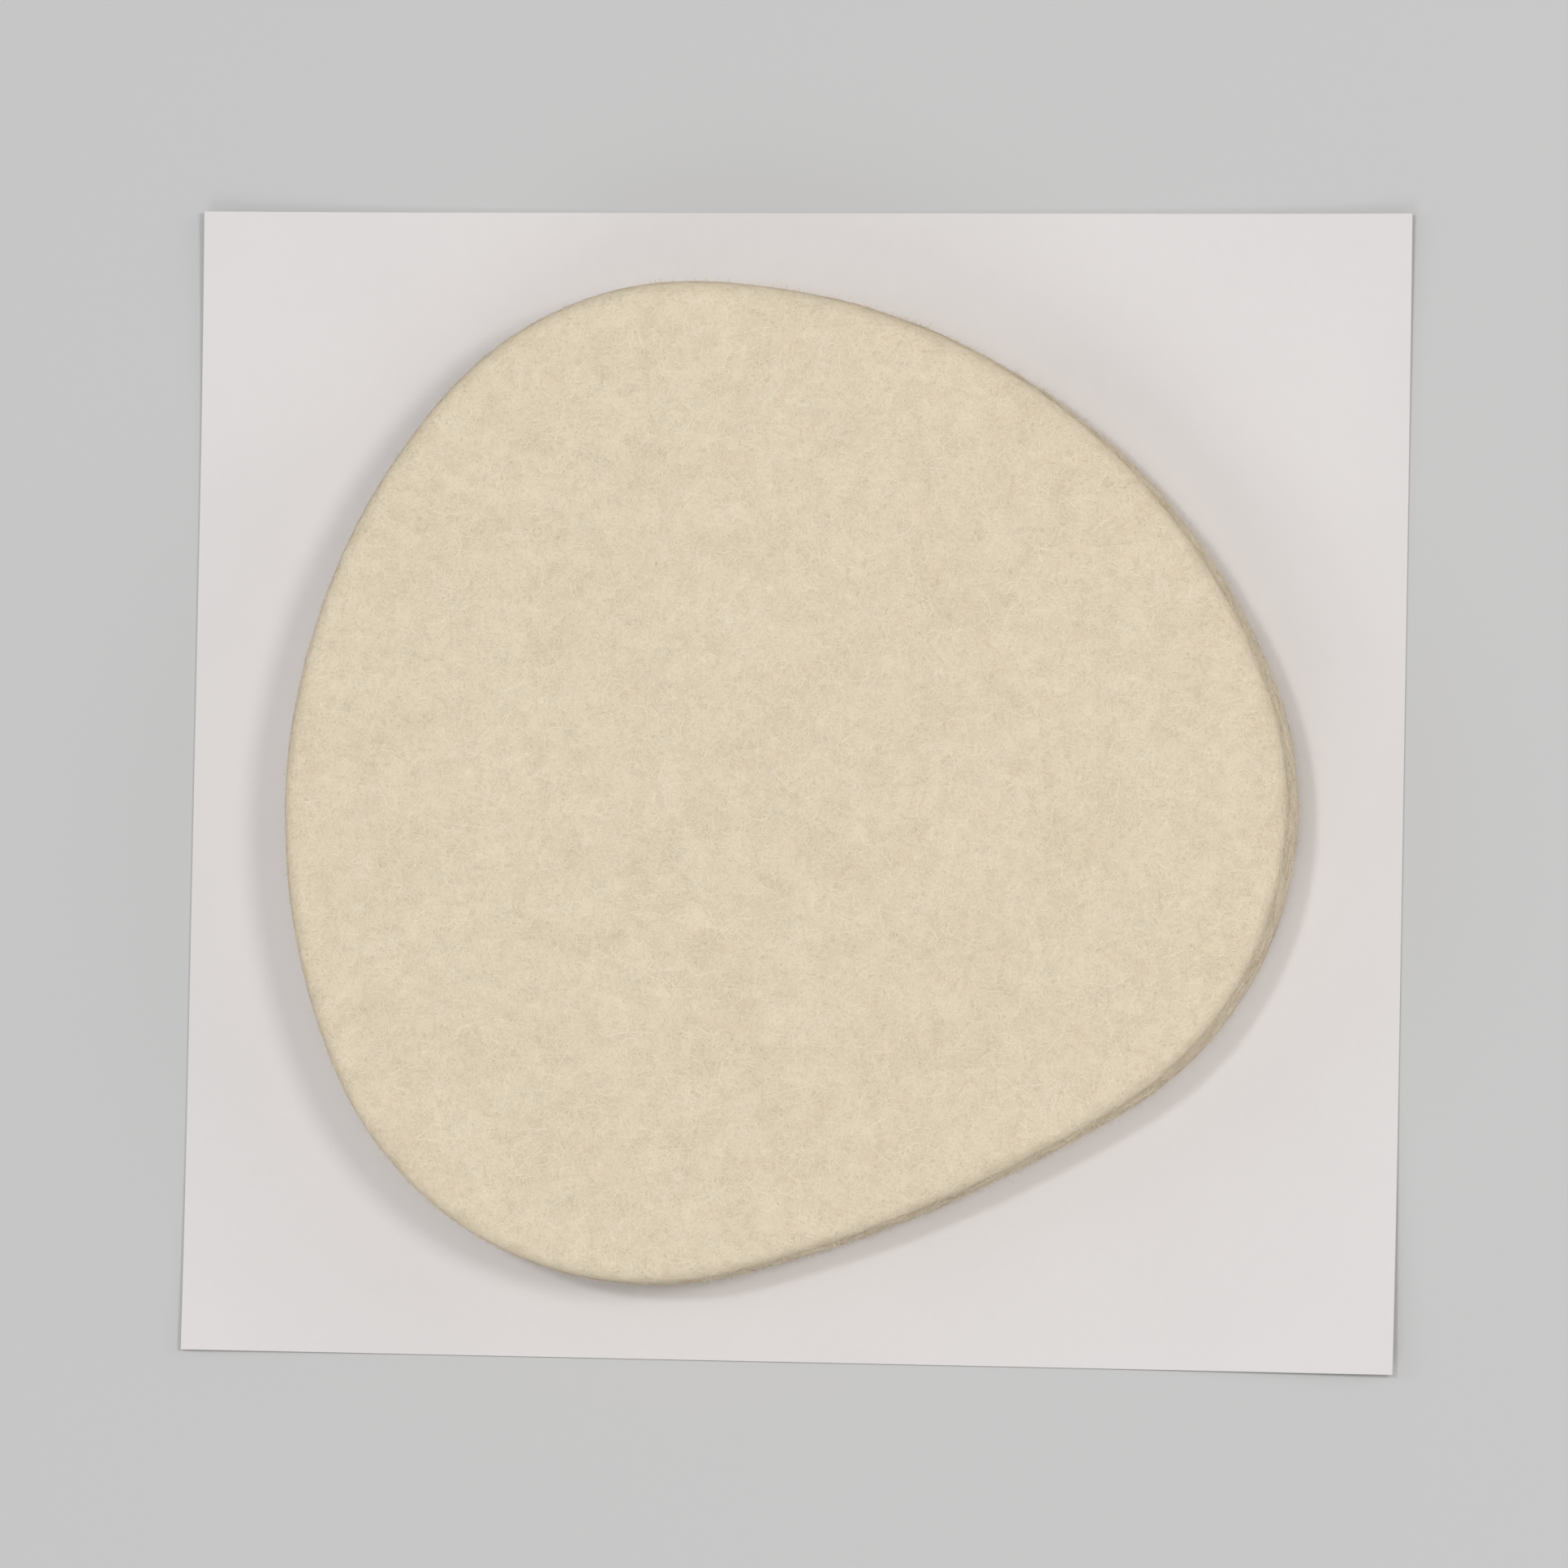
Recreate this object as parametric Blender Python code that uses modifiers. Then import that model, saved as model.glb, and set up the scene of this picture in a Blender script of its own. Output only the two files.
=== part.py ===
"""A felt metatarsal pad lying on its release card, at real size.

Three flat pieces are stacked along +Z: the card, a thin adhesive layer, and
the thick felt pad.  The pad's outline is a rounded triangle, symmetric about
the line from its flat side to its tip, and it lies turned on the card.
The origin is the middle of the card's underside.
"""

import math
from collections import namedtuple

import bmesh
import bpy
from mathutils import Vector

MM = 0.001

# Felt pad: across its two wide corners, and from its flat side to its tip
PAD_WIDTH = 70.0 * MM
PAD_LENGTH = 67.0 * MM
PAD_THICKNESS = 6.35 * MM
CORNER_RADIUS = 24.0 * MM
TIP_RADIUS = 22.5 * MM
# How far each side bows out past a straight line between its two corners
FLAT_SIDE_BULGE = 0.8 * MM
FLANK_BULGE = 3.4 * MM
# The die leaves the upper rim of the felt slightly rounded
RIM_RADIUS = 0.7 * MM
RIM_STEPS = 4

# Adhesive layer under the felt
ADHESIVE_THICKNESS = 0.15 * MM
ADHESIVE_INSET = 0.4 * MM

# Release card, and the plain margin that it leaves round the turned pad
CARD_THICKNESS = 0.25 * MM
MARGIN_LEFT = 7.9 * MM
MARGIN_RIGHT = 7.2 * MM
MARGIN_FRONT = 5.3 * MM
MARGIN_BACK = 5.3 * MM

# How the pad lies on the card, anticlockwise as seen from above
PAD_TURN = math.radians(24.0)

# Space left between two flat faces that lie on each other
FACE_GAP = 0.1 * MM
# Length of one straight step along the rounded outline
OUTLINE_STEP = 1.2 * MM
# Vertices nearer than this are one
WELD_DISTANCE = 0.001 * MM

FELT_CREAM = (0.735, 0.631, 0.472, 1.0)
CARD_WHITE = (0.716, 0.680, 0.665, 1.0)
ADHESIVE_CLEAR = (0.68, 0.62, 0.50, 1.0)

Circle = namedtuple("Circle", "centre radius")


def corner_circles():
    """The pad's three corner circles, anticlockwise from the wide corner at +X."""
    half_spacing = PAD_WIDTH / 2 - CORNER_RADIUS
    tip_rise = PAD_LENGTH - FLAT_SIDE_BULGE - CORNER_RADIUS - TIP_RADIUS
    return (
        Circle(Vector((half_spacing, 0.0)), CORNER_RADIUS),
        Circle(Vector((0.0, tip_rise)), TIP_RADIUS),
        Circle(Vector((-half_spacing, 0.0)), CORNER_RADIUS),
    )


def side_circle(first, second, bulge):
    """The large circle that touches two corner circles and bows out by bulge."""
    between = second.centre - first.centre
    span = between.length
    along = between / span
    inward = Vector((-along.y, along.x))
    radius = span**2 / (8 * bulge) + bulge / 2 + (first.radius + second.radius) / 2
    reach_first = radius - first.radius
    reach_second = radius - second.radius
    foot = (reach_first**2 - reach_second**2 + span**2) / (2 * span)
    depth = math.sqrt(reach_first**2 - foot**2)
    return Circle(first.centre + foot * along + depth * inward, radius)


def direction(start, end):
    return math.atan2(end.y - start.y, end.x - start.x)


def arc_points(circle, first_angle, last_angle, inset):
    """Even points along an arc, anticlockwise, without its last point."""
    radius = circle.radius - inset
    sweep = (last_angle - first_angle) % math.tau
    steps = max(2, math.ceil(sweep * radius / OUTLINE_STEP))
    angles = [first_angle + sweep * step / steps for step in range(steps)]
    return [
        circle.centre + radius * Vector((math.cos(angle), math.sin(angle)))
        for angle in angles
    ]


def pad_outline(inset=0.0):
    """The outline as six arcs that meet without a corner, drawn in by inset."""
    corners = corner_circles()
    bulges = (FLANK_BULGE, FLANK_BULGE, FLAT_SIDE_BULGE)
    count = len(corners)
    sides = [
        side_circle(corners[index], corners[(index + 1) % count], bulges[index])
        for index in range(count)
    ]
    points = []
    for index, corner in enumerate(corners):
        side, next_corner = sides[index], corners[(index + 1) % count]
        arrive = direction(sides[index - 1].centre, corner.centre)
        leave = direction(side.centre, corner.centre)
        side_end = direction(side.centre, next_corner.centre)
        points += arc_points(corner, arrive, leave, inset)
        points += arc_points(side, leave, side_end, inset)
    return points


def turned_reach():
    """Lowest and highest corner of the box round the pad, turned about its own origin."""
    cosine, sine = math.cos(PAD_TURN), math.sin(PAD_TURN)
    turned = [
        (cosine * point.x - sine * point.y, sine * point.x + cosine * point.y)
        for point in pad_outline()
    ]
    across, along = zip(*turned)
    return Vector((min(across), min(along))), Vector((max(across), max(along)))


def material(name, colour, roughness):
    made = bpy.data.materials.new(name)
    made.use_nodes = True
    shader = made.node_tree.nodes["Principled BSDF"]
    shader.inputs["Base Color"].default_value = colour
    shader.inputs["Roughness"].default_value = roughness
    shader.inputs["Metallic"].default_value = 0.0
    made.diffuse_color = colour
    return made


def flat_curve(name, outline, thickness):
    """A closed outline filled on both sides and extruded, centred on its own plane."""
    curve = bpy.data.curves.new(name, "CURVE")
    curve.dimensions = "2D"
    curve.fill_mode = "BOTH"
    curve.extrude = thickness / 2
    spline = curve.splines.new("POLY")
    spline.points.add(len(outline) - 1)
    for spline_point, point in zip(spline.points, outline):
        spline_point.co = (point.x, point.y, 0.0, 1.0)
    spline.use_cyclic_u = True
    return bpy.data.objects.new(name, curve)


def welded_mesh(curve_object, collection):
    """A mesh object in place of a curve object, with one face on each flat side."""
    collection.objects.link(curve_object)
    bpy.context.view_layer.update()
    evaluated = curve_object.evaluated_get(bpy.context.evaluated_depsgraph_get())
    mesh = bpy.data.meshes.new_from_object(evaluated)
    name = curve_object.name
    bpy.data.objects.remove(curve_object)
    shape = bmesh.new()
    shape.from_mesh(mesh)
    bmesh.ops.remove_doubles(shape, verts=shape.verts, dist=WELD_DISTANCE)
    inner_edges = [
        edge
        for edge in shape.edges
        if edge.is_manifold and edge.calc_face_angle() < math.radians(0.1)
    ]
    bmesh.ops.dissolve_edges(shape, edges=inner_edges, use_verts=False)
    shape.to_mesh(mesh)
    shape.free()
    return bpy.data.objects.new(name, mesh)


def round_top_rim(piece, height):
    """Rounds only the edges of the upper face, which lies at height in the mesh."""
    mesh = piece.data
    weights = mesh.attributes.new("bevel_weight_edge", "FLOAT", "EDGE")
    for edge in mesh.edges:
        ends = [mesh.vertices[index].co.z for index in edge.vertices]
        if min(ends) > height - WELD_DISTANCE:
            weights.data[edge.index].value = 1.0
    rounding = piece.modifiers.new("Rounded rim", "BEVEL")
    rounding.limit_method = "WEIGHT"
    rounding.offset_type = "OFFSET"
    rounding.width = RIM_RADIUS
    rounding.segments = RIM_STEPS


def felt_pad(collection):
    outline = flat_curve("felt_pad", pad_outline(), PAD_THICKNESS)
    piece = welded_mesh(outline, collection)
    piece.data.shade_smooth()
    piece.data.set_sharp_from_angle(angle=math.radians(40.0))
    round_top_rim(piece, PAD_THICKNESS / 2)
    piece.data.materials.append(material("Cream felt", FELT_CREAM, 0.95))
    return piece


def adhesive_film():
    piece = flat_curve("adhesive_film", pad_outline(ADHESIVE_INSET), ADHESIVE_THICKNESS)
    caps = piece.modifiers.new("Joined caps", "WELD")
    caps.merge_threshold = WELD_DISTANCE
    piece.data.materials.append(material("Clear adhesive", ADHESIVE_CLEAR, 0.35))
    return piece


def release_card(width, depth):
    mesh = bpy.data.meshes.new("release_card")
    shape = bmesh.new()
    bmesh.ops.create_cube(shape, size=1.0)
    bmesh.ops.scale(shape, vec=(width, depth, CARD_THICKNESS), verts=shape.verts)
    shape.to_mesh(mesh)
    shape.free()
    mesh.materials.append(material("White release card", CARD_WHITE, 0.55))
    return bpy.data.objects.new("release_card", mesh)


def clear_scene():
    for leftover in list(bpy.data.objects):
        bpy.data.objects.remove(leftover)


def build():
    clear_scene()
    collection = bpy.data.collections.new("metatarsal_pad_on_card")
    bpy.context.scene.collection.children.link(collection)

    low, high = turned_reach()
    card_width = MARGIN_LEFT + (high.x - low.x) + MARGIN_RIGHT
    card_depth = MARGIN_FRONT + (high.y - low.y) + MARGIN_BACK

    # The pad's own origin lies midway between its two wide corners
    pad_frame = bpy.data.objects.new("pad_frame", None)
    pad_frame.location = (
        MARGIN_LEFT - low.x - card_width / 2,
        MARGIN_FRONT - low.y - card_depth / 2,
        CARD_THICKNESS,
    )
    pad_frame.rotation_euler.z = PAD_TURN
    collection.objects.link(pad_frame)

    card = release_card(card_width, card_depth)
    card.location.z = CARD_THICKNESS / 2
    collection.objects.link(card)

    film_base = FACE_GAP
    film = adhesive_film()
    film.parent = pad_frame
    film.location.z = film_base + ADHESIVE_THICKNESS / 2
    collection.objects.link(film)

    felt_base = film_base + ADHESIVE_THICKNESS + FACE_GAP
    felt = felt_pad(collection)
    felt.parent = pad_frame
    felt.location.z = felt_base + PAD_THICKNESS / 2
    collection.objects.link(felt)


build()
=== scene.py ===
"""Looks of a felt metatarsal pad on its release card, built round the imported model.

The felt is a dense pressed body.  Fine fibres are matted into its top, its rim
and its cut wall, and short hairs stand free of it.  The card is thin and smooth,
and lifts a little at its corners.  Lengths are in metres.
"""

import math

import bmesh
import bpy
import numpy as np
from mathutils import Matrix, Vector


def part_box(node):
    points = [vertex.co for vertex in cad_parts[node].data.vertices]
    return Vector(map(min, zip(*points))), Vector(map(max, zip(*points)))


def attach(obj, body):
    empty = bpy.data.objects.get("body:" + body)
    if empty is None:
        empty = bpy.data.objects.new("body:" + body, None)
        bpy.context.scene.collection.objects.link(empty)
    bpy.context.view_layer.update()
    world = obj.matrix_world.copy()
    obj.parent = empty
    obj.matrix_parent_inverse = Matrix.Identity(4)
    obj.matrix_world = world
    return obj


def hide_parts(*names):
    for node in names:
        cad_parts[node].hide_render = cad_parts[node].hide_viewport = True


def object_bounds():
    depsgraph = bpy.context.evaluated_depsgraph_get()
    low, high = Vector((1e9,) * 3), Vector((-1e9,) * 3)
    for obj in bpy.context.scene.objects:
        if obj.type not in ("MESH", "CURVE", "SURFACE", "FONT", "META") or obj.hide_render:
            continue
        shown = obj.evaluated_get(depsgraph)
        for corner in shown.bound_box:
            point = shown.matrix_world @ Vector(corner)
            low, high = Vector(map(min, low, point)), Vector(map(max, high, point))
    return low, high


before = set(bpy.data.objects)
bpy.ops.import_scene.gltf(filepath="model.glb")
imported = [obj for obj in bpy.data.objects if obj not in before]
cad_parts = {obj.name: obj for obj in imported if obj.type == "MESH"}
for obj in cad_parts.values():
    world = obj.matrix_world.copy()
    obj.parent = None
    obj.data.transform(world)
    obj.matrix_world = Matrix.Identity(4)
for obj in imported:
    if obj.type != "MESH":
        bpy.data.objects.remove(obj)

MM = 0.001
CAD_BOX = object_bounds()
BODY = "root"

# Lowest and highest corners of the solids that the pieces below stand for
FELT_LOW, FELT_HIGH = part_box("felt_pad")
CARD_LOW, CARD_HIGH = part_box("release_card")
FILM_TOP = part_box("adhesive_film")[1].z

# Pieces that touch on the real pad lie this close here
TOUCHING = 0.01 * MM


def spoke(angle):
    """Unit steps in the plan at given angles."""
    return np.stack([np.cos(angle), np.sin(angle)], axis=-1)


def unit(vectors):
    return vectors / np.linalg.norm(vectors, axis=-1, keepdims=True)


def even_angles(count):
    return math.tau * np.arange(count) / count


def with_height(plan, height):
    """Plan positions and heights as points in space."""
    height = np.broadcast_to(height, plan.shape[:-1])
    return np.concatenate([plan, height[..., None]], axis=-1)


def node_points(name):
    """The corners of a CAD node's mesh, one row each."""
    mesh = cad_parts[name].data
    points = np.empty(len(mesh.vertices) * 3, np.float32)
    mesh.vertices.foreach_get("co", points)
    return points.reshape(-1, 3).astype(float)


class Outline:
    """A smooth closed outline: its radius round a centre, fitted to given points."""

    WAVES = 24

    def __init__(self, points, centre):
        self.centre = centre
        offset = points - centre
        angle = np.arctan2(offset[:, 1], offset[:, 0])
        distance = np.hypot(offset[:, 0], offset[:, 1])
        self.weights = np.linalg.lstsq(self.columns(angle), distance, rcond=None)[0]

    def turns(self, angle):
        return np.multiply.outer(angle, np.arange(1, self.WAVES + 1))

    def columns(self, angle):
        turns = self.turns(angle)
        constant = np.ones(turns.shape[:-1] + (1,))
        return np.concatenate([constant, np.cos(turns), np.sin(turns)], axis=-1)

    def radius(self, angle):
        return self.columns(angle) @ self.weights

    def slope(self, angle):
        """How fast the radius grows with the angle."""
        turns = self.turns(angle)
        count = np.arange(1, self.WAVES + 1)
        constant = np.zeros(turns.shape[:-1] + (1,))
        columns = [constant, -count * np.sin(turns), count * np.cos(turns)]
        return np.concatenate(columns, axis=-1) @ self.weights

    def point(self, angle):
        return self.centre + self.radius(angle)[..., None] * spoke(angle)

    def normal(self, angle):
        """The outline's outward direction at an angle."""
        across = spoke(angle + math.pi / 2)
        outward = self.radius(angle)[..., None] * spoke(angle)
        outward = outward - self.slope(angle)[..., None] * across
        return unit(outward)


FELT_CENTRE = np.array([(FELT_LOW.x + FELT_HIGH.x) / 2, (FELT_LOW.y + FELT_HIGH.y) / 2])
FELT_POINTS = node_points("felt_pad")
FLAT_TOLERANCE = 0.01 * MM
# Where the solid's flat top meets its rounded rim
TOP_RING = FELT_POINTS[FELT_POINTS[:, 2] > FELT_HIGH.z - FLAT_TOLERANCE][:, :2]
SOLID_OUTLINE = Outline(TOP_RING, FELT_CENTRE)
SOLID_RIM_RADIUS = FELT_HIGH.x - TOP_RING[:, 0].max()
# Soft felt rounds off further in than the solid's plain rim, which it stays inside
RIM_RADIUS = 1.15 * MM
RIM_INSET = RIM_RADIUS - SOLID_RIM_RADIUS
RING_ANGLES = even_angles(720)
TOP_OUTLINE = Outline(
    SOLID_OUTLINE.point(RING_ANGLES) - RIM_INSET * SOLID_OUTLINE.normal(RING_ANGLES),
    FELT_CENTRE,
)
RIM_LENGTH = RIM_RADIUS * math.pi / 2
FELT_BASE = FILM_TOP + TOUCHING
WALL_HEIGHT = FELT_HIGH.z - RIM_RADIUS - FELT_BASE


def plan_at(angle, reach):
    """Plan positions at given angles and distances from the felt's centre."""
    return FELT_CENTRE + reach[..., None] * spoke(angle)


class Ripple:
    """A smooth random field: many plane waves of about one wavelength, of unit size."""

    WAVES = 28
    SPREAD = 0.35

    def __init__(self, seed, wavelength):
        rng = np.random.default_rng(seed)
        pace = math.tau * rng.uniform(1 - self.SPREAD, 1 + self.SPREAD, self.WAVES)
        directions = unit(rng.normal(size=(self.WAVES, 3)))
        self.waves = (directions * pace[:, None] / np.asarray(wavelength)).T
        self.phases = rng.uniform(0, math.tau, self.WAVES)

    def __call__(self, points):
        total = np.cos(points @ self.waves + self.phases).sum(axis=-1)
        return total * math.sqrt(2 / self.WAVES)


# Relief of pressed felt: (field, height of the relief)
FELT_RELIEF = (
    (Ripple(11, 14.0 * MM), 0.045 * MM),
    (Ripple(12, 4.0 * MM), 0.018 * MM),
    (Ripple(13, 1.4 * MM), 0.009 * MM),
    (Ripple(14, 0.7 * MM), 0.005 * MM),
)
# Layers of felt that show on the cut wall, long in plan and thin in height
WALL_RELIEF = (
    (Ripple(15, (6.0 * MM, 6.0 * MM, 1.2 * MM)), 0.030 * MM),
    (Ripple(17, (2.4 * MM, 2.4 * MM, 0.7 * MM)), 0.018 * MM),
)
# They come in over this length below the rim
LAYERS_START = 1.2 * MM
# The die wanders a little as it cuts
CUT_WANDER = Ripple(16, 11.0 * MM)
CUT_WANDER_WIDTH = 0.012 * MM
# The wall swells slightly at mid height
WALL_SWELL = 0.10 * MM
# Share of the face's relief that is gone on the wall
LOST_ON_WALL = 0.65
# The relief is lower near the bottom edge, which stays on the adhesive
BASE_BAND = 0.6 * MM
LOST_AT_BASE = 0.5


def felt_surface(plan, lift=0.0):
    """Points on the felt, raised by lift, for positions on its unrolled plan.

    Inside the top outline a plan position lies on the top.  Past it, the
    distance runs round the rim and then down the wall.
    """
    offset = plan - FELT_CENTRE
    angle = np.arctan2(offset[..., 1], offset[..., 0])
    reach = np.hypot(offset[..., 0], offset[..., 1])
    past = reach - TOP_OUTLINE.radius(angle)
    outward = TOP_OUTLINE.normal(angle)
    bend = np.clip(past / RIM_RADIUS, 0, math.pi / 2)
    down = np.clip(past - RIM_LENGTH, 0, WALL_HEIGHT)

    swell = WALL_SWELL * np.sin(math.pi * down / WALL_HEIGHT) ** 2
    flat = np.where((past < 0)[..., None], plan, TOP_OUTLINE.point(angle))
    side = RIM_RADIUS * np.sin(bend) + swell
    height = FELT_HIGH.z - RIM_RADIUS * (1 - np.cos(bend)) - down
    points = with_height(flat + side[..., None] * outward, height)
    normals = with_height(np.sin(bend)[..., None] * outward, np.cos(bend))

    on_wall = np.sin(bend)
    below_rim = np.clip(down / LAYERS_START, 0, 1)
    face = sum(size * field(points) for field, size in FELT_RELIEF)
    layers = sum(size * field(points) for field, size in WALL_RELIEF)
    wander = CUT_WANDER_WIDTH * CUT_WANDER(with_height(points[..., :2], 0.0))
    relief = face * (1 - LOST_ON_WALL * on_wall) + layers * below_rim + wander * on_wall
    near_base = np.clip(1 - (WALL_HEIGHT - down) / BASE_BAND, 0, 1)
    relief = relief * (1 - LOST_AT_BASE * near_base)
    return points + (relief + lift)[..., None] * normals


def disc_grid(count):
    """A square grid laid over the unit disc, as (angle, share of the radius)."""
    edge = np.linspace(-1, 1, count + 1)
    a, b = np.meshgrid(edge, edge, indexing="xy")
    wide = np.abs(a) >= np.abs(b)
    safe_a = np.where(a == 0, 1, a)
    safe_b = np.where(b == 0, 1, b)
    share = np.where(wide, a, b)
    angle = np.where(
        wide, math.pi / 4 * b / safe_a, math.pi / 2 - math.pi / 4 * a / safe_b
    )
    angle = np.where((a == 0) & (b == 0), 0, angle)
    angle = np.where(share < 0, angle + math.pi, angle)
    return angle, np.abs(share)


def grid_border(count):
    """Indices of the grid's border, anticlockwise from its low corner."""
    row = count + 1
    low = np.arange(0, count)
    right = np.arange(count, row * count + count, row)
    high = np.arange(row * row - 1, row * count, -1)
    left = np.arange(row * count, 0, -row)
    return np.concatenate([low, right, high, left])


def quads_between(first, second):
    """Faces that look outwards, from an upper anticlockwise ring of indices to a lower."""
    return np.stack([first, second, np.roll(second, -1), np.roll(first, -1)], axis=1)


def fan(middle, ring):
    """Triangles between a middle point and a ring of indices, turning as it does."""
    return [(middle, int(a), int(b)) for a, b in zip(ring, np.roll(ring, -1))]


def linked(name, data):
    """A new object in the scene, with the mesh, lamp or camera given as its data."""
    made = bpy.data.objects.new(name, data)
    bpy.context.scene.collection.objects.link(made)
    return made


def mesh_object(name, points, faces, materials):
    """A smooth-shaded object."""
    mesh = bpy.data.meshes.new(name)
    mesh.from_pydata(points, [], faces)
    for material in materials:
        mesh.materials.append(material)
    mesh.shade_smooth()
    return linked(name, mesh)


FELT_GRID = 224
RIM_RINGS = 8
WALL_RING_SPACING = 0.26 * MM


def felt_body(material):
    """The pressed pad itself: a top of small quads, a rim, a wall and a flat base."""
    angle, share = disc_grid(FELT_GRID)
    top_plan = plan_at(angle, share * TOP_OUTLINE.radius(angle)).reshape(-1, 2)
    index = np.arange((FELT_GRID + 1) ** 2).reshape(FELT_GRID + 1, FELT_GRID + 1)
    top_faces = np.stack(
        [index[:-1, :-1], index[:-1, 1:], index[1:, 1:], index[1:, :-1]], axis=-1
    ).reshape(-1, 4)

    border = grid_border(FELT_GRID)
    border_angle = angle.reshape(-1)[border]
    rim_steps = RIM_LENGTH * np.arange(1, RIM_RINGS + 1) / RIM_RINGS
    wall_rings = math.ceil(WALL_HEIGHT / WALL_RING_SPACING)
    wall_steps = RIM_LENGTH + WALL_HEIGHT * np.arange(1, wall_rings + 1) / wall_rings
    steps = np.concatenate([rim_steps, wall_steps])
    ring_reach = TOP_OUTLINE.radius(border_angle) + steps[:, None]
    ring_plan = plan_at(border_angle, ring_reach).reshape(-1, 2)
    points = felt_surface(np.concatenate([top_plan, ring_plan]))

    ring_size = len(border)
    rings = [border] + [
        len(top_plan) + ring_size * number + np.arange(ring_size)
        for number in range(len(steps))
    ]
    side_faces = [quads_between(rings[i], rings[i + 1]) for i in range(len(steps))]
    points[rings[-1], 2] = FELT_BASE
    middle = len(points)
    points = np.concatenate([points, [[*FELT_CENTRE, FELT_BASE]]])
    base_faces = fan(middle, rings[-1][::-1])
    faces = np.concatenate([top_faces, *side_faces]).tolist() + base_faces
    return mesh_object("felt_body", points, faces, [material])


# Fibres near each other are alike in direction, and partly in tint
SWIRLS = Ripple(18, 8.0 * MM)
SWIRL_TURN = 2.2
SWIRL_SPREAD = 0.75
TINT_PATCHES = Ripple(19, 1.4 * MM)
WALL_TINT_PATCHES = Ripple(20, (4.5 * MM, 4.5 * MM, 0.8 * MM))
TINT_BY_PLACE = 0.75
TINT_BY_CHANCE = 0.8
# From the darkest fibres to the lightest
FIBRE_TINTS = (
    (0.776, 0.655, 0.475, 1.0),
    (0.825, 0.710, 0.529, 1.0),
    (0.854, 0.745, 0.566, 1.0),
    (0.878, 0.774, 0.599, 1.0),
    (0.907, 0.810, 0.645, 1.0),
)
# Strands thin out to these shares of their full width at both ends
FLAT_END = 0.3
HAIR_END = 0.35
TAPER_POWER = 0.6
HAIR_SIDES = 3


def strands_object(name, points, faces, materials, tints):
    """One mesh of many strands: a row of faces and a tint for each."""
    corners = faces.shape[-1]
    made = mesh_object(name, points.reshape(-1, 3), faces.reshape(-1, corners), materials)
    tint_of_face = np.repeat(tints, faces.shape[1]).astype(np.int32)
    made.data.polygons.foreach_set("material_index", tint_of_face)
    return made


def tint_numbers(rng, paths, patches):
    """A tint for each fibre: partly that of its place, partly its own."""
    place = patches(paths.mean(axis=1))
    own = rng.normal(0, 1, len(paths))
    middle = (len(FIBRE_TINTS) - 1) / 2
    tint = np.round(middle + TINT_BY_PLACE * place + TINT_BY_CHANCE * own)
    return np.clip(tint, 0, len(FIBRE_TINTS) - 1).astype(int)


def tapered(width, steps, thin):
    """Widths along each strand, from thin at the ends to full in the middle."""
    swell = np.sin(math.pi * np.linspace(0, 1, steps)) ** TAPER_POWER
    return width[:, None] * (thin + (1 - thin) * swell)


def flat_strands(name, paths, ups, width, materials, tints):
    """Fibres that lie flat: a narrow strip along each row of points."""
    count, steps, _ = paths.shape
    forward = unit(np.gradient(paths, axis=1))
    across = unit(np.cross(forward, ups))
    half = tapered(width / 2, steps, FLAT_END)[..., None] * across
    points = np.stack([paths - half, paths + half], axis=2)
    index = np.arange(count * steps * 2).reshape(count, steps, 2)
    faces = np.stack(
        [index[:, :-1, 0], index[:, :-1, 1], index[:, 1:, 1], index[:, 1:, 0]], axis=-1
    )
    return strands_object(name, points, faces, materials, tints)


def hairs(name, paths, aside, radius, materials, tints):
    """Fibres that stand free: a closed thin tube along each row of points."""
    count, steps, _ = paths.shape
    forward = unit(np.gradient(paths, axis=1))
    side = unit(np.cross(forward, aside))
    other = np.cross(forward, side)
    thickness = tapered(radius, steps, HAIR_END)
    corner_angle = even_angles(HAIR_SIDES)
    ring = (
        np.cos(corner_angle)[:, None] * side[:, :, None, :]
        + np.sin(corner_angle)[:, None] * other[:, :, None, :]
    )
    points = paths[:, :, None, :] + thickness[:, :, None, None] * ring

    index = np.arange(count * steps * HAIR_SIDES).reshape(count, steps, HAIR_SIDES)
    following = np.roll(index, -1, axis=2)
    near, near_next = index[:, :-1], following[:, :-1]
    far, far_next = index[:, 1:], following[:, 1:]
    walls = np.stack(
        [near, near_next, far_next, near, far_next, far], axis=-1
    ).reshape(count, -1, 3)
    faces = np.concatenate([walls, index[:, :1, ::-1], index[:, -1:, :]], axis=1)
    return strands_object(name, points, faces, materials, tints)


# Height between the two points that give the felt's outward direction
UP_STEP = 0.1 * MM
# Curls along a fibre: (waves, bend in radians)
FIBRE_CURLS = ((0.45, 0.9), (1.3, 0.55))
# Every fibre has its own share of those waves, and its own strength of bend
CURL_RATES = (0.6, 1.4)
CURL_SPREAD = 0.35
# Matted fibres weave in and out of the surface, and their ends dive into it
FIBRE_SINK = 0.012 * MM
FIBRE_CLEARANCE = 0.004 * MM
WEAVE_RATES = (0.8, 2.2)
WEAVE_DEPTH = 0.4
CREST_POWER = 1.5
DIVE_POWER = 6


def draped(plans, lift):
    """Fibre paths on the felt, and the felt's outward direction along them."""
    paths = felt_surface(plans, lift)
    return paths, unit(felt_surface(plans, lift + UP_STEP) - paths)


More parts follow.
